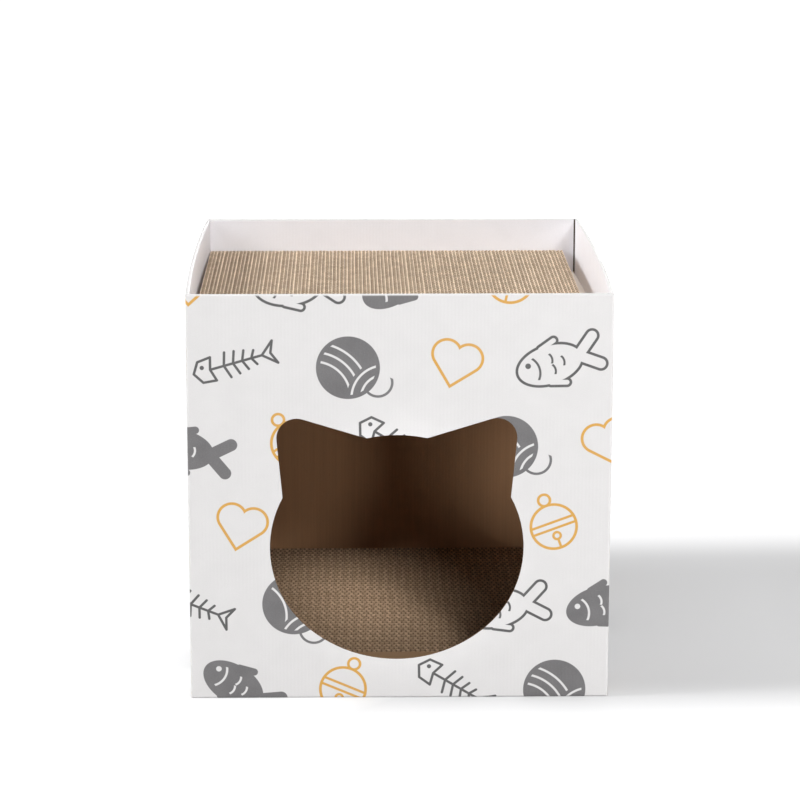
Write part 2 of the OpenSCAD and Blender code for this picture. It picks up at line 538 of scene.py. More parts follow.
    def make_ball(self) -> Tree:
        """Draws a ball of yarn with its wound strands and a loose end.

        Returns:
            The motif.
        """
        stroke = Stroke("motif_yarn_ball", "Body", "Detail")
        ball = stroke.disc((0.0, 0.0), 23.5)
        inner = stroke.disc((0.0, 0.0), 20.5)
        first = stroke.join(*(stroke.ring((-27.0, -20.0), r, stroke.FINE) for r in (27.0, 34.0, 41.0)))
        second = stroke.join(*(stroke.ring((25.0, -25.0), r, stroke.FINE) for r in (17.5, 24.5)))
        clear = stroke.times(stroke.disc((25.0, -25.0), 28.0), -1.0)
        strands = stroke.join(stroke.within(first, clear), second)
        end = stroke.within(
            stroke.ring((21.0, -13.0), 10.5, stroke.PEN), stroke.disc((25.0, -22.0), 13.0)
        )
        stroke.put("Body", stroke.join(ball, end))
        stroke.put("Detail", stroke.within(strands, inner))
        return stroke.tree

    def make_heart(self) -> Tree:
        """Draws a heart as one line.

        Returns:
            The motif.
        """
        stroke = Stroke("motif_heart", "Line")
        half = stroke.folded(x=True)
        lobe = stroke.disc((8.2, 5.5), 10.5, half)
        wedge = stroke.within(
            stroke.side((0.0, -18.0), (0.717, -0.697), half),
            stroke.side((15.73, -1.82), (0.697, 0.717), half),
            stroke.side((0.0, 5.5), (0.0, 1.0), half),
        )
        stroke.put("Line", stroke.rim(stroke.join(lobe, wedge), stroke.BOLD))
        return stroke.tree

    def make_print(self) -> Tree:
        """Makes the print of the blank: one motif to a cell, each turned its own way.

        Returns:
            The group.
        """
        inks = self.inks
        inputs = dict.fromkeys(("Along", "Up"), Kind.VALUE)
        group = Group("blank_print", inputs, ("Grey", "Dark", "Gold"))
        rise = group.math("DIVIDE", group.math("ADD", group.inputs["Up"], inks.lift), inks.cell_h)
        row = group.math("FLOOR", rise)
        stagger = group.times(group.math("FLOORED_MODULO", row, 2.0), 0.5)
        run = group.math("ADD", group.math("DIVIDE", group.inputs["Along"], inks.cell_w), stagger)
        column = group.math("FLOOR", run)
        chance = group.node("ShaderNodeTexWhiteNoise", noise_dimensions="2D")
        group.feed(chance.inputs["Vector"], group.combine(column, row))
        jitter = group.vector("SUBTRACT", chance.outputs["Color"], (0.5, 0.5, 0.5))
        jitter_x, jitter_y, jitter_turn = group.split(jitter)
        local_x = group.less(group.math("FRACT", run), 0.5)
        local_y = group.less(group.math("FRACT", rise), 0.5)
        unit = inks.motif_size * MM
        place = group.combine(
            group.math("MULTIPLY_ADD", local_x, inks.cell_w / unit, group.times(jitter_x, inks.drift)),
            group.math("MULTIPLY_ADD", local_y, inks.cell_h / unit, group.times(jitter_y, inks.drift)),
        )
        turned = group.node("ShaderNodeVectorRotate", rotation_type="Z_AXIS")
        group.feed(turned.inputs["Vector"], place)
        group.feed(turned.inputs["Angle"], group.times(jitter_turn, inks.turn))
        spot = turned.outputs[0]
        order = group.math("MULTIPLY_ADD", row, inks.row_shift, column)
        kind = group.math("FLOORED_MODULO", order, float(len(PrintMotif)))

        def ink(distance: Feed) -> Socket:
            """Turns a distance into an inked share with a crisp edge."""
            return group.math("MULTIPLY_ADD", distance, -0.5 / inks.edge, 0.5, clamp=True)

        def chosen(motif: PrintMotif, share: Feed) -> Socket:
            """Keeps a share of ink in the cells of one motif."""
            return group.times(group.math("COMPARE", kind, float(motif.value), 0.25), share)

        def solid(motif: PrintMotif, drawn: bpy.types.bpy_prop_collection) -> Socket:
            """Inks a motif's body and leaves its details bare."""
            bare = group.less(1.0, ink(drawn["Detail"]))
            return chosen(motif, group.times(ink(drawn["Body"]), bare))

        fish, ball, bone, bell, heart = (
            group.group(motif, Place=spot)
            for motif in (self.fish, self.ball, self.bone, self.bell, self.heart)
        )
        outline = group.less(group.math("ABSOLUTE", fish["Body"]), Stroke.ROUND)
        line_fish = group.math("MINIMUM", outline, fish["Detail"])
        inked = {
            "Grey": (solid(PrintMotif.SOLID_FISH, fish), solid(PrintMotif.YARN_BALL, ball)),
            "Dark": (
                chosen(PrintMotif.FISH_BONE, ink(bone["Line"])),
                chosen(PrintMotif.LINE_FISH, ink(line_fish)),
            ),
            "Gold": (
                chosen(PrintMotif.BELL, ink(bell["Line"])),
                chosen(PrintMotif.HEART, ink(heart["Line"])),
            ),
        }
        for channel, shares in inked.items():
            group.put(channel, group.math("ADD", *shares))
        return group.tree


class Side(Enum):
    """Sides of the carton, in the order of the unfolded blank."""

    FRONT = 0
    RIGHT = 1
    BACK = 2
    LEFT = 3

    @property
    def flat(self) -> bool:
        """True for the front and the back, whose panels don't bow."""
        return self in (Side.FRONT, Side.BACK)


class Axis(IntEnum):
    """Axes of the frame."""

    X = 0
    Y = 1
    Z = 2


@dataclass(frozen=True)
class BoardFinish:
    """Colours, wear and relief of the carton's corrugated board; its lining white holds painted light,
    and its shelf, crest and hollow colours hold painted shade.
    """

    printed_white: Colour = (0.735, 0.722, 0.718)
    lining_lit_white: Colour = (0.935, 0.930, 0.970)
    shelf_shaded_white: Colour = (0.760, 0.685, 0.610)
    kraft: Colour = (0.420, 0.236, 0.122)
    worn: Colour = (0.740, 0.685, 0.615)
    crest_wear_and_shade: Colour = (0.640, 0.632, 0.628)
    hollow_shade: Colour = (0.085, 0.052, 0.030)
    white_tones: Pair = (0.972, 1.022)
    kraft_tones: Pair = (0.95, 1.05)
    rib_tone: float = 0.72
    rib_share: float = 0.06
    fleck_tone: float = 0.55
    fleck_share: float = 0.35
    hollow_shade_share: float = 0.9
    worn_share: float = 0.55
    worn_reach: float = 3.2 * MM
    thin_ink: float = 0.90
    crest_wear_and_shade_reach: Pair = (1.2, 0.2)
    white_roughness: float = 0.52
    white_swing: float = 0.10
    ink_gloss: float = 0.06
    kraft_roughness: float = 0.86
    kraft_swing: float = 0.08
    wave: float = 3.2 * MM
    rib_height: float = 0.04 * MM
    tooth_height: float = 0.025 * MM
    hollow_depth: float = 0.4 * MM
    bump: float = 0.6


@dataclass(frozen=True)
class BoardLie:
    """How one board lies: where its white face is and which way that face looks.

    A bowed board measures from its arc, so its level is a radius there.
    """

    side: Side
    axis: Axis
    level: float
    sign: float
    bowed: bool = False
    printed: bool = False
    folds: tuple[tuple[Axis, float, float], ...] = ()


@dataclass
class Carton:
    """The folded carton: its sizes, taken from the CAD boards, and their finish."""

    finish: BoardFinish = field(default_factory=BoardFinish)
    width: float = 0.0
    depth: float = 0.0
    height: float = 0.0
    board_t: float = 0.0
    bow_r: float = 0.0
    bow_x: float = 0.0
    shelf_z: float = 0.0

    def measure(self) -> None:
        """Reads the sizes off the CAD boards."""
        front_low, front_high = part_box("front_panel")
        _, back_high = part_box("back_panel")
        _, right_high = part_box("right_panel")
        self.width = front_high.x - front_low.x
        self.depth = back_high.y - front_low.y
        self.height = front_high.z
        self.board_t = front_high.y - front_low.y
        bow = right_high.x - self.width / 2
        self.bow_r = (self.depth**2 / 4 + bow**2) / (2 * bow)
        self.bow_x = self.width / 2 + bow - self.bow_r
        self.shelf_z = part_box("front_shelf_flap")[1].z

    def lies(self) -> dict[str, BoardLie]:
        """Says how each board lies.

        Returns:
            The lie of each board, by the name of its CAD node.
        """
        t, half_w, half_d, top = self.board_t, self.width / 2, self.depth / 2, self.height
        slack = 0.05 * t
        upper = ((Axis.Z, top - t - slack, 1.0),)
        flat_folds = (
            *upper,
            (Axis.Z, t + slack, -1.0),
            (Axis.X, half_w - t - slack, 1.0),
            (Axis.X, t + slack - half_w, -1.0),
        )
        bowed_folds = (*upper, (Axis.Z, 2 * t + slack, -1.0))
        shelf = self.shelf_z
        return {
            "front_panel": BoardLie(Side.FRONT, Axis.Y, -half_d, 1.0, printed=True, folds=flat_folds),
            "right_panel": BoardLie(Side.RIGHT, Axis.X, self.bow_r, -1.0, True, True, bowed_folds),
            "back_panel": BoardLie(Side.BACK, Axis.Y, half_d, -1.0, printed=True, folds=flat_folds),
            "left_panel": BoardLie(Side.LEFT, Axis.X, self.bow_r, -1.0, True, True, bowed_folds),
            "glue_flap": BoardLie(Side.BACK, Axis.Y, half_d - t, -1.0),
            "front_rim": BoardLie(Side.FRONT, Axis.Y, 2 * t - half_d, -1.0, folds=upper),
            "right_rim": BoardLie(Side.RIGHT, Axis.X, self.bow_r - 2 * t, 1.0, True, False, upper),
            "back_rim": BoardLie(Side.BACK, Axis.Y, half_d - 2 * t, 1.0, folds=upper),
            "left_rim": BoardLie(Side.LEFT, Axis.X, self.bow_r - 2 * t, 1.0, True, False, upper),
            "front_shelf_flap": BoardLie(Side.FRONT, Axis.Z, shelf, -1.0),
            "right_shelf_flap": BoardLie(Side.RIGHT, Axis.Z, shelf - t, -1.0),
            "back_shelf_flap": BoardLie(Side.BACK, Axis.Z, shelf, -1.0),
            "left_shelf_flap": BoardLie(Side.LEFT, Axis.Z, shelf - t, -1.0),
            "front_base_flap": BoardLie(Side.FRONT, Axis.Z, 0.0, 1.0),
            "right_base_flap": BoardLie(Side.RIGHT, Axis.Z, t, 1.0),
            "back_base_flap": BoardLie(Side.BACK, Axis.Z, 0.0, 1.0),
            "left_base_flap": BoardLie(Side.LEFT, Axis.Z, t, 1.0),
        }

    def depth_below_white(self, graph: Graph, place: Feed, lie: BoardLie) -> Socket:
        """Measures how deep a point lies below a board's white face.

        Args:
            graph: The material's nodes.
            place: The point, in Object coordinates.
            lie: How the board lies.

        Returns:
            The depth in metres.
        """
        axes = graph.split(place)
        reach = axes[lie.axis]
        if lie.bowed:
            centre = self.bow_x if lie.side is Side.RIGHT else -self.bow_x
            reach = graph.vector("DISTANCE", graph.combine(axes[0], axes[1]), (centre, 0.0, 0.0))
        return graph.times(graph.less(reach, lie.level), lie.sign)

    def along_blank(self, graph: Graph, place: Feed, side: Side) -> Socket:
        """Measures how far along the unfolded blank a point of a wall is.

        Args:
            graph: The material's nodes.
            place: The point, in Object coordinates.
            side: The side that the wall is on.

        Returns:
            The length in metres from the blank's first edge.
        """
        x, y, _ = graph.split(place)
        width, depth = self.width, self.depth
        value, sign, start = {
            Side.FRONT: (x, 1.0, width / 2),
            Side.RIGHT: (y, 1.0, width + depth / 2),
            Side.BACK: (x, -1.0, width * 1.5 + depth),
            Side.LEFT: (y, -1.0, width * 2 + depth * 1.5),
        }[side]
        return graph.math("MULTIPLY_ADD", value, sign, start)

    def crease_distance(self, graph: Graph, place: Feed, side: Side) -> Socket:
        """Measures how far a point of a wall is from the nearest crease of its panel.

        Args:
            graph: The material's nodes.
            place: The point, in Object coordinates.
            side: The side that the wall is on.

        Returns:
            The distance in metres.
        """
        x, y, z = graph.split(place)
        half = self.width / 2 if side.flat else self.depth / 2
        sideways = graph.less(half, graph.math("ABSOLUTE", x if side.flat else y))
        upright = graph.math("MINIMUM", z, graph.less(self.height, z))
        return graph.math("MINIMUM", sideways, upright)

    def make_material(self, name: str, lie: BoardLie, effects: Effects) -> bpy.types.Material:
        """Makes the finish of one board.

        Args:
            name: Name of the board.
            lie: How it lies.
            effects: The shared node groups.

        Returns:
            The material.
        """
        look, inks = self.finish, effects.inks
        material, graph, shader = new_material(f"{name}_board")
        place = graph.node("ShaderNodeTexCoord").outputs["Object"]
        x, y, z = graph.split(place)
        across = x if lie.side.flat else y
        level = lie.axis is Axis.Z
        depth = self.depth_below_white(graph, place, lie)
        section = graph.group(effects.section, Depth=depth, Across=across)
        folded: Feed = section["White"]
        for axis, limit, sign in lie.folds:
            beyond = graph.math("GREATER_THAN", graph.times((x, y, z)[axis], sign), limit * sign)
            folded = graph.math("MAXIMUM", folded, beyond)
        fibre = graph.group(effects.fibre, Place=place)
        tone = fibre["Tone"]
        up = (y if lie.side.flat else x) if level else z
        ribs = graph.group(effects.washboard, Across=across, Up=up, Wave=look.wave)
        # Painted light: the linings are the same white sheet as the printed face, written lighter to
        # stand in for the light they take.
        sheet = look.printed_white if lie.printed else look.lining_lit_white
        # Painted shade: the shelf's white is written darker and warmer, standing in for its shade and
        # the warm light the pad bounces onto it.
        if level:
            sheet = look.shelf_shaded_white
        white = graph.mottle(graph.spread(tone, low=0.3, high=0.7), sheet, look.white_tones)
        sheen = graph.about(look.white_roughness, look.white_swing, tone)
        if lie.printed:
            along = self.along_blank(graph, place, lie.side)
            inked = graph.group(effects.print, Along=along, Up=z)
            patchy = graph.spread(tone, low=0.25, high=0.75, to_low=look.thin_ink)
            for channel, colour in (("Grey", inks.grey), ("Dark", inks.dark), ("Gold", inks.gold)):
                white = graph.mix(graph.times(inked[channel], patchy), white, colour)
                sheen = graph.math("MULTIPLY_ADD", inked[channel], -look.ink_gloss, sheen)
            crease = self.crease_distance(graph, place, lie.side)
            worn = graph.group(effects.scuff, Place=place, Distance=crease, Reach=look.worn_reach)
            white = graph.mix(graph.times(worn["Wear"], look.worn_share), white, look.worn)
        # Wear and painted shade: the fold's crest is darker, for its crushed fibres and to hold back
        # the strong light on its top.
        if not level:
            reach = (self.height - share * self.board_t for share in look.crest_wear_and_shade_reach)
            white = graph.mix(graph.spread(z, *reach), white, look.crest_wear_and_shade)
        streak = graph.spread(ribs["Streak"], low=0.28, high=0.72)
        kraft = graph.mottle(streak, look.kraft, look.kraft_tones)
        # Painted shade: the hollows of the cut flutes are painted dark; the ribs and flecks are the
        # paper's own.
        for mask, share, colour in (
            (ribs["Rib"], look.rib_share, scaled(look.kraft, look.rib_tone)),
            (fibre["Fleck"], look.fleck_share, scaled(look.kraft, look.fleck_tone)),
            (section["Hollow"], look.hollow_shade_share, look.hollow_shade),
        ):
            kraft = graph.mix(graph.times(mask, share), kraft, colour)
        # Painted shade: the kraft of a printed panel above the shelf, hidden behind the lining, is
        # painted dark.
        if lie.printed:
            shaded_behind_lining = graph.math("GREATER_THAN", z, self.shelf_z)
            kraft = graph.mix(shaded_behind_lining, kraft, look.hollow_shade)
        graph.feed(shader.inputs["Base Color"], graph.mix(folded, kraft, white))
        rough = graph.about(look.kraft_roughness, look.kraft_swing, tone)
        lift = graph.times(folded, graph.less(sheen, rough))
        graph.feed(shader.inputs["Roughness"], graph.math("ADD", rough, lift))
        height = graph.times(ribs["Rib"], look.rib_height)
        height = graph.math("MULTIPLY_ADD", fibre["Height"], look.tooth_height, height)
        height = graph.math("MULTIPLY_ADD", section["Hollow"], -look.hollow_depth, height)
        add_bump(graph, shader, height, look.bump)
        return material

    def dress(self, nodes: dict[str, bpy.types.Object], effects: Effects) -> None:
        """Gives every board its finish.

        Args:
            nodes: The CAD nodes, by name.
            effects: The shared node groups.
        """
        for name, lie in self.lies().items():
            wear(nodes[name], self.make_material(name, lie, effects))
            LOG.info("%s dressed as %s board", name, "printed" if lie.printed else "plain")


class Lay(Enum):
    """Which way the strips of a pad run."""

    ALONG_Y = "y"
    ALONG_X = "x"


@dataclass(frozen=True)
class Flute:
    """One fluted layer of a strip and its place across the strip."""

    name: str
    low: float
    high: float


@dataclass(frozen=True)
class PadFinish:
    """Colours, fray and relief of the cut corrugated board that a pad shows, with painted shade on the
    flutes' slopes and deep in the flutes.
    """

    paper: Colour = (0.440, 0.305, 0.198)
    edge: Colour = (0.950, 0.765, 0.575)
    pit_shade: Colour = (0.100, 0.064, 0.039)
    side: Colour = (0.450, 0.318, 0.205)
    paper_tones: Pair = (0.88, 1.10)
    side_tones: Pair = (0.90, 1.08)
    strip_share: float = 0.55
    fleck_tone: float = 0.6
    fleck_share: float = 0.30
    fray_scale: float = 90.0
    fray_share: float = 0.70
    fresh_share: float = 1.05
    slope_shade_share: float = 0.75
    edge_reach: float = 0.28 * MM
    pit_shade_start: float = 0.5 * MM
    pit_shade_reach: float = 5.0 * MM
    roughness: float = 0.88
    roughness_swing: float = 0.10
    tooth_height: float = 0.06 * MM
    bump: float = 0.7


@dataclass
class ScratchPad:
    """A pad of double-wall strips on edge, with every flute open from top to bottom."""

    node: str
    body: str
    lay: Lay
    seed: int
    finish: PadFinish = field(default_factory=PadFinish)
    slot: str = "pad_board"
    strip_t: float = 7.1 * MM
    glue: float = 0.04 * MM
    liner_t: float = 0.45 * MM
    middle_t: float = 0.65 * MM
    paper_t: float = 0.50 * MM
    middle_share: float = 0.54
    wave: float = 8.8 * MM
    drift: float = 0.017
    stagger: float = 0.25
    stray: float = 0.06
    steps_per_wave: int = 8
    liner_steps: int = 18
    ragged: float = 0.12 * MM
    sway: float = 0.4
    uneven: float = 0.12 * MM

    def __post_init__(self) -> None:
        """Takes the pad's place and size from its CAD node."""
        self.low, self.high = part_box(self.node)
        span = self.high - self.low
        along_y = self.lay is Lay.ALONG_Y
        self.length = span.y if along_y else span.x
        self.breadth = span.x if along_y else span.y
        self.thick = span.z
        self.pitch = self.strip_t + self.glue
        self.count = round((self.breadth + self.glue) / self.pitch)
        self.chance = random.Random(self.seed)
        self.drops = [self.chance.uniform(0.0, self.uneven) for _ in range(self.count)]
        self.tones = [self.chance.uniform(0.0, 1.0) for _ in range(self.count)]
        self.shifts = [
            self.drift * strip + self.stagger * (strip % 2) + self.chance.uniform(0.0, self.stray)
            for strip in range(self.count)
        ]

    @property
    def middle(self) -> float:
        """Middle of the inner liner, across a strip."""
        return self.middle_share * self.strip_t

    def flutes(self) -> tuple[Flute, Flute]:
        """Says where the two fluted layers of a strip are.

        Returns:
            The layers.
        """
        half = self.middle_t / 2
        return (
            Flute("wide_flutes", self.liner_t, self.middle - half),
            Flute("narrow_flutes", self.middle + half, self.strip_t - self.liner_t),
        )

    def attributes(self, mesh: bmesh.types.BMesh) -> list[bmesh.types.BMLayerItem]:
        """Adds what the finish reads: a strip's tone, its flutes' phase and its cut edge."""
        return [mesh.verts.layers.float.new(n) for n in ("strip_tone", "strip_phase", "cut_edge")]

    def place(self, mesh: bmesh.types.BMesh) -> None:
        """Moves a pad built at the origin, strips along +Y, to where the CAD pad is.

        Args:
            mesh: The pad's mesh.
        """
        if self.lay is Lay.ALONG_Y:
            move = Matrix.Translation(self.low)
        else:
            corner = Vector((self.high.x, self.low.y, self.low.z))
            move = Matrix.Translation(corner) @ Matrix.Rotation(math.pi / 2, 4, "Z")
        bmesh.ops.transform(mesh, matrix=move, verts=mesh.verts[:])

    def roughen(self, vert: bmesh.types.BMVert, strip: int) -> None:
        """Lowers and shifts a top edge a little, as a saw and claws leave it.

        Args:
            vert: A point of the edge.
            strip: Number of the strip that it is on.
        """
        vert.co.z -= self.drops[strip] + self.chance.uniform(0.0, self.ragged)
        vert.co.x += self.chance.uniform(-self.sway, self.sway) * self.ragged
        vert.co.y += self.chance.uniform(-self.sway, self.sway) * self.ragged

    def build_liners(self) -> bpy.types.Object:
        """Builds the flat paper between and beside the flutes.

        Returns:
            The new piece.
        """
        mesh = bmesh.new()
        tone, phase, cut = self.attributes(mesh)
        outer = self.liner_t / 2
        layers = (
            (outer, self.liner_t),
            (self.middle, self.middle_t),
            (self.strip_t - outer, self.liner_t),
        )
        for strip in range(self.count):
            for across, sheet_t in layers:
                centre = Vector((strip * self.pitch + across, self.length / 2, self.thick / 2))
                size = Vector((sheet_t, self.length, self.thick))
                matrix = Matrix.LocRotScale(centre, None, size)
                for vert in bmesh.ops.create_cube(mesh, size=1.0, matrix=matrix)["verts"]:
                    vert[tone] = self.tones[strip]
                    vert[phase] = self.shifts[strip]
        long_edges = [e for e in mesh.edges if e.calc_length() > self.length / 2]
        bmesh.ops.subdivide_edges(mesh, edges=long_edges, cuts=self.liner_steps, use_grid_fill=True)
        for vert in mesh.verts:
            if vert.co.z > self.thick / 2:
                vert[cut] = 1.0
                self.roughen(vert, min(self.count - 1, int(vert.co.x / self.pitch)))
        self.place(mesh)
        return finish_mesh(f"{self.node}_liners", mesh)

    def build_flutes(self, flute: Flute) -> bpy.types.Object:
        """Builds one fluted layer of every strip.

        Args:
            flute: The layer.

        Returns:
            The new piece.
        """
        mesh = bmesh.new()
        tone, phase, cut = self.attributes(mesh)
        swing = (flute.high - flute.low - self.paper_t) / 2
        middle = (flute.low + flute.high) / 2
        step = self.wave / self.steps_per_wave
        for strip in range(self.count):
            lead = (self.shifts[strip] % 1.0) * self.wave
            first = int(lead / step)
            columns = math.ceil((self.length + lead) / step) - first
            sheet = bmesh.ops.create_grid(mesh, x_segments=columns, y_segments=1, size=0.5)["verts"]
            for vert in sheet:
                column = first + round((vert.co.x + 0.5) * columns)
                upper = vert.co.y > 0
                angle = 2 * math.pi * column / self.steps_per_wave
                run = min(max(column * step - lead, 0.0), self.length)
                across = strip * self.pitch + middle + swing * math.sin(angle)
                vert.co = (across, run, self.thick if upper else 0.0)
                vert[tone] = self.tones[strip]
                vert[phase] = self.shifts[strip]
                if upper:
                    vert[cut] = 1.0
                    self.roughen(vert, strip)
        bmesh.ops.recalc_face_normals(mesh, faces=mesh.faces[:])
        bmesh.ops.solidify(mesh, geom=mesh.faces[:], thickness=self.paper_t)
        self.place(mesh)
        return finish_mesh(f"{self.node}_{flute.name}", mesh)

    def build(self) -> list[bpy.types.Object]:
        """Builds the pad's layers, which stand for its CAD node.

        Returns:
            The pieces: liners and flutes.
        """
        pieces = [self.build_liners(), *(self.build_flutes(f) for f in self.flutes())]
        for piece in pieces:
            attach(piece, self.body)
            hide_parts(self.node)
            LOG.info("%s built with %d faces", piece.name, len(piece.data.polygons))
        return pieces

    def make_material(self, effects: Effects) -> bpy.types.Material:
        """Makes the finish of the pad's cut paper.

        Args:
            effects: The shared node groups.

        Returns:
            The material.
        """
        look = self.finish
        material, graph, shader = new_material(f"{self.node}_paper")
        place = graph.node("ShaderNodeTexCoord").outputs["Object"]
        cut, strip, phase = (
            graph.node("ShaderNodeAttribute", attribute_name=name).outputs["Fac"]
            for name in ("cut_edge", "strip_tone", "strip_phase")
        )
        below = graph.times(graph.less(1.0, cut), self.thick)
        fibre = graph.group(effects.fibre, Place=place)
        grain = graph.times(fibre["Tone"], 1.0 - look.strip_share)
        tone = graph.math("MULTIPLY_ADD", strip, look.strip_share, grain)
        tone = graph.spread(tone, low=0.15, high=0.85)
        x, y, _ = graph.split(place)
        along_y = self.lay is Lay.ALONG_Y
        run = graph.less(y, self.low.y) if along_y else graph.less(self.high.x, x)
        turns = graph.math("ADD", graph.math("DIVIDE", run, self.wave), phase)
        # Painted shade: the flutes' slopes between their tips are painted darker, standing in for
        # shade in the open cells.
        unshaded_tip = graph.math("ABSOLUTE", graph.math("SINE", graph.times(turns, 2 * math.pi)))
        paper = graph.mottle(tone, look.paper, look.paper_tones)
        paper = graph.mix(unshaded_tip, scaled(look.paper, look.slope_shade_share), paper)
        fleck = graph.times(fibre["Fleck"], look.fleck_share)
        paper = graph.mix(fleck, paper, scaled(look.paper, look.fleck_tone))
        # Painted shade: the paper darkens deeper below the cut edge, standing in for the shade down in
        # the flutes.
        paper = graph.mix(graph.spread(below, look.pit_shade_start, look.pit_shade_reach), paper, look.pit_shade)
        inward = reduce(
            partial(graph.math, "MINIMUM"),
            (
                graph.less(x, self.low.x),
                graph.less(self.high.x, x),
                graph.less(y, self.low.y),
                graph.less(self.high.y, y),
            ),
        )
        side = graph.mottle(tone, look.side, look.side_tones)
        paper = graph.mix(graph.spread(inward, self.ragged, self.ragged / 2), paper, side)
        apart = graph.vector("ADD", place, graph.combine(0.0, 0.0, strip))
        fray = graph.noise(apart, look.fray_scale, detail=2.0, roughness=0.6)
        fray = graph.spread(fray, low=0.36, high=0.64)
        edge = graph.mottle(fray, look.edge, (look.fray_share, look.fresh_share))
        # The cut edge on the flutes' slopes is toned towards the paper too, as painted shade.
        edge = graph.mix(unshaded_tip, graph.mix(look.slope_shade_share, look.paper, edge), edge)
        paper = graph.mix(graph.spread(below, look.edge_reach, 0.0), paper, edge)
        graph.feed(shader.inputs["Base Color"], paper)
        rough = graph.about(look.roughness, look.roughness_swing, fibre["Tone"])
        graph.feed(shader.inputs["Roughness"], rough)
        add_bump(graph, shader, graph.times(fibre["Height"], look.tooth_height), look.bump)
        return material

    def dress(self, pieces: list[bpy.types.Object], effects: Effects) -> None:
        """Gives the pad's layers their finish.

        Args:
            pieces: The layers.
            effects: The shared node groups.
        """
        material = self.make_material(effects)
        for piece in pieces:
            wear(piece, material)


@dataclass(frozen=True)
class Lamp:
    """One soft lamp of the studio."""

    name: str
    place: Point
    aim: Point
    size: Pair
    power: float


@dataclass(frozen=True)
class Snoot:
    """One narrow lamp, which shines in through the doorway."""

    name: str
    place: Point
    aim: Point
    radius: float
    power: float
    cone: float


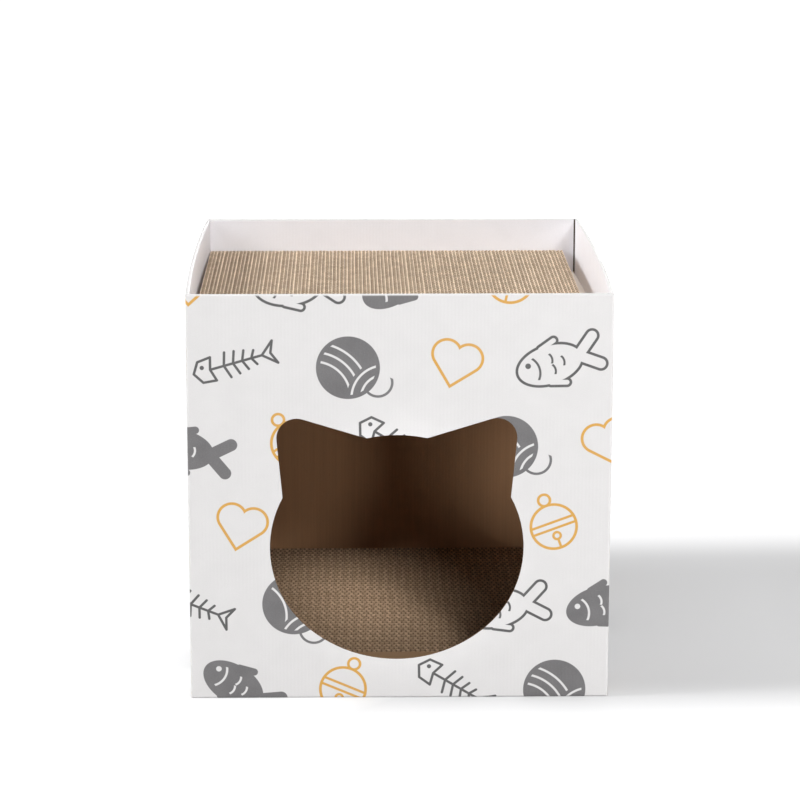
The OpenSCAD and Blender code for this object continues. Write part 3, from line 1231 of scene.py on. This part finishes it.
@dataclass
class Studio:
    """Floor, light and camera around the cat house."""

    lens: float = 131.12
    sensor: float = 36.0
    clip: Pair = (0.05, 200.0)
    camera_place: Point = (-0.0446, -2.6655, 0.8380)
    pitch: float = 12.941
    yaw: float = 1.038
    roll: float = 0.05
    floor_half: float = 40.0
    floor_colour: Colour = (0.50, 0.50, 0.505)
    shade_y: Pair = (-0.15, 0.23)
    shade_x: float = 0.05
    shade_fade: float = 0.13
    glow_shade: float = 0.155
    glow_near: float = 0.50
    glow_far: float = 1.0
    glow_reach: Pair = (0.8, 2.0)
    ambient: float = 0.20
    white: Colour = (1.0, 1.0, 1.0)
    lamps: tuple[Lamp, ...] = (
        Lamp("key_left", (-2.55, -0.25, 1.72), (0.0, 0.0, 0.2), (1.0, 1.0), 64.0),
        Lamp("right_high", (1.0, -2.25, 1.52), (0.0, 0.0, 0.12), (0.5, 0.5), 31.0),
        Lamp("right_low", (0.86, -2.4, 0.24), (0.0, 0.0, 0.15), (0.3, 0.3), 8.9),
        Lamp("left_low", (-0.94, -2.4, 0.16), (0.0, 0.0, 0.15), (0.35, 0.25), 6.6),
        Lamp("overhead", (-0.1, 0.0, 2.4), (0.0, 0.0, 0.2), (1.4, 1.4), 24.0),
        Lamp("right_side", (2.7, -0.3, 0.28), (0.0, 0.0, 0.2), (0.9, 0.4), 26.0),
        Lamp("behind", (0.5, 2.6, 0.5), (0.0, 0.0, 0.2), (1.2, 0.7), 30.0),
    )
    snoots: tuple[Snoot, ...] = (
        Snoot("wall_snoot", (-0.94, -2.4, 0.16), (0.0074, -0.2, 0.12), 0.04, 95.0, 4.2),
        Snoot("pad_snoot", (0.25, -2.3, 1.35), (-0.03, 0.02, 0.025), 0.05, 190.0, 3.8),
    )

    def build_camera(self) -> None:
        """Sets the camera at the photograph's viewing angle."""
        data = bpy.data.cameras.new("camera")
        data.lens, data.sensor_width = self.lens, self.sensor
        data.clip_start, data.clip_end = self.clip
        camera = bpy.data.objects.new("camera", data)
        bpy.context.scene.collection.objects.link(camera)
        pitch, yaw, roll = (math.radians(a) for a in (self.pitch, self.yaw, self.roll))
        ahead = Vector(
            (math.sin(yaw) * math.cos(pitch), math.cos(yaw) * math.cos(pitch), -math.sin(pitch))
        )
        level = Vector((math.cos(yaw), -math.sin(yaw), 0.0))
        rise = level.cross(ahead)
        right = math.cos(roll) * level + math.sin(roll) * rise
        up = math.cos(roll) * rise - math.sin(roll) * level
        turn = Matrix((right, up, -ahead)).transposed().to_4x4()
        camera.matrix_world = Matrix.Translation(self.camera_place) @ turn
        bpy.context.scene.camera = camera

    def build_floor(self) -> None:
        """Lays the pale floor, white to the camera but for the cast shadow beside the carton, which a
        lower glow there paints darker.
        """
        mesh = bmesh.new()
        bmesh.ops.create_grid(mesh, x_segments=2, y_segments=2, size=self.floor_half)
        floor = finish_mesh("studio_floor", mesh)
        material, graph, shader = new_material("studio_floor")
        shader.inputs["Base Color"].default_value = (*self.floor_colour, 1.0)
        shader.inputs["Roughness"].default_value = 1.0
        shader.inputs["Specular IOR Level"].default_value = 0.0
        shader.inputs["Emission Strength"].default_value = 1.0
        place = graph.node("ShaderNodeTexCoord").outputs["Object"]
        x, y, _ = graph.split(place)
        # Painted shadow: a lower glow in a band right of the carton, where the key lamp's shadow
        # falls.
        front, back = self.shade_y
        sideways = graph.math("ABSOLUTE", graph.less(y, (front + back) / 2))
        beside = graph.less(sideways, (back - front) / 2)
        clear = graph.math("MAXIMUM", beside, graph.less(self.shade_x, x))
        near = graph.spread(clear, 0.0, self.shade_fade, self.glow_shade, self.glow_near)
        far = graph.spread(graph.vector("LENGTH", place), *self.glow_reach, 0.0, self.glow_far)
        glow = graph.times(graph.math("MAXIMUM", near, far), seen(graph))
        graph.feed(shader.inputs["Emission Color"], graph.combine(glow, glow, glow))
        wear(floor, material)

    def build_world(self) -> None:
        """Makes an even soft light all round, and a white backdrop for the camera."""
        world = bpy.data.worlds.new("studio")
        bpy.context.scene.world = world
        world.use_nodes = True
        world.node_tree.nodes.clear()
        graph = Graph(world.node_tree)
        light = graph.filled(graph.node("ShaderNodeBackground"), (*self.white, 1.0), self.ambient)
        backdrop = graph.filled(graph.node("ShaderNodeBackground"), (*self.white, 1.0), 1.0)
        blend = graph.filled(graph.node("ShaderNodeMixShader"), seen(graph), light, backdrop)
        graph.feed(graph.node("ShaderNodeOutputWorld").inputs["Surface"], blend)

    def build_lamps(self) -> None:
        """Hangs the soft lamps and the narrow ones."""
        for lamp in self.lamps:
            data = bpy.data.lights.new(lamp.name, "AREA")
            data.shape = "RECTANGLE"
            data.size, data.size_y = lamp.size
            self.hang(data, lamp)
        for snoot in self.snoots:
            data = bpy.data.lights.new(snoot.name, "SPOT")
            data.shadow_soft_size = snoot.radius
            data.spot_size = math.radians(snoot.cone)
            data.spot_blend = 1.0
            self.hang(data, snoot)

    def hang(self, data: bpy.types.Light, lamp: Lamp | Snoot) -> None:
        """Hangs a lamp at its place and turns it to its aim.

        Args:
            data: Blender's light.
            lamp: The lamp that it stands for.
        """
        data.energy = lamp.power
        hung = bpy.data.objects.new(lamp.name, data)
        hung.location = lamp.place
        aim = Vector(lamp.aim) - Vector(lamp.place)
        hung.rotation_euler = aim.to_track_quat("-Z", "Y").to_euler()
        bpy.context.scene.collection.objects.link(hung)

    def build(self) -> None:
        """Builds the whole studio."""
        self.build_camera()
        self.build_floor()
        self.build_world()
        self.build_lamps()
        bpy.context.scene.view_settings.view_transform = "Standard"
        LOG.info("studio built with %d lamps", len(self.lamps) + len(self.snoots))


def seen(graph: Graph) -> Socket:
    """Tells the rays that show the backdrop to the camera, straight or in a reflection.

    Args:
        graph: Nodes of the floor or the world.

    Returns:
        A value of 1 for such rays, and 0 for others.
    """
    path = graph.node("ShaderNodeLightPath").outputs
    mirrored = graph.math("MAXIMUM", path["Is Glossy Ray"], path["Is Transmission Ray"])
    return graph.math("MAXIMUM", path["Is Camera Ray"], mirrored)


def new_material(name: str) -> tuple[bpy.types.Material, Graph, bpy.types.Node]:
    """Makes a material with one shader.

    Args:
        name: Name of the material.

    Returns:
        The material, its nodes and its shader node.
    """
    material = bpy.data.materials.new(name)
    material.use_nodes = True
    graph = Graph(material.node_tree)
    shader = material.node_tree.nodes["Principled BSDF"]
    shader.inputs["Specular IOR Level"].default_value = PAPER_GLOSS
    return material, graph, shader


def add_bump(graph: Graph, shader: bpy.types.Node, height: Feed, strength: float) -> None:
    """Gives a shader a bump.

    Args:
        graph: The material's nodes.
        shader: The shader node.
        height: Height of the surface in metres.
        strength: How strong the bump is, from 0 to 1.
    """
    bump = graph.node("ShaderNodeBump")
    bump.inputs["Strength"].default_value = strength
    bump.inputs["Distance"].default_value = 1.0
    graph.feed(bump.inputs["Height"], height)
    graph.feed(shader.inputs["Normal"], bump.outputs[0])


def wear(piece: bpy.types.Object, material: bpy.types.Material) -> None:
    """Makes a material the only one of a piece.

    Args:
        piece: The piece.
        material: Its material.
    """
    if piece.material_slots:
        piece.material_slots[0].material = material
    else:
        piece.data.materials.append(material)


def finish_mesh(name: str, mesh: bmesh.types.BMesh) -> bpy.types.Object:
    """Turns a bmesh into an object at the origin, smooth but for its sharp edges.

    Args:
        name: Name of the object.
        mesh: Its mesh, which is freed.

    Returns:
        The object, linked into the scene.
    """
    data = bpy.data.meshes.new(name)
    for face in mesh.faces:
        face.smooth = True
    mesh.to_mesh(data)
    mesh.free()
    data.set_sharp_from_angle(angle=math.radians(SHARP_ANGLE))
    made = bpy.data.objects.new(name, data)
    bpy.context.scene.collection.objects.link(made)
    return made


def clear_scene() -> None:
    """Removes whatever the start-up file holds."""
    for leftover in list(bpy.data.objects):
        bpy.data.objects.remove(leftover)


def main() -> None:
    """Builds the cat house around its CAD model."""
    logging.basicConfig(level=logging.INFO, format="%(name)s: %(message)s")
    clear_scene()
    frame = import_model()
    Studio().build()
    carton = Carton()
    carton.measure()
    effects = Effects(carton.board_t, carton.finish.wave, PrintInks())
    carton.dress(frame["nodes"], effects)
    brown = PadFinish(
        paper=(0.130, 0.080, 0.045),
        edge=(0.840, 0.590, 0.380),
        pit_shade=(0.032, 0.019, 0.011),
        side=(0.352, 0.224, 0.128),
        fray_scale=210.0,
        fray_share=0.85,
        slope_shade_share=0.12,
    )
    for pad in (
        ScratchPad("top_pad", "upper_pad", Lay.ALONG_Y, seed=11),
        ScratchPad("floor_pad", "lower_pad", Lay.ALONG_X, seed=23, finish=brown),
    ):
        pad.dress(pad.build(), effects)


if __name__ == "__main__":
    main()
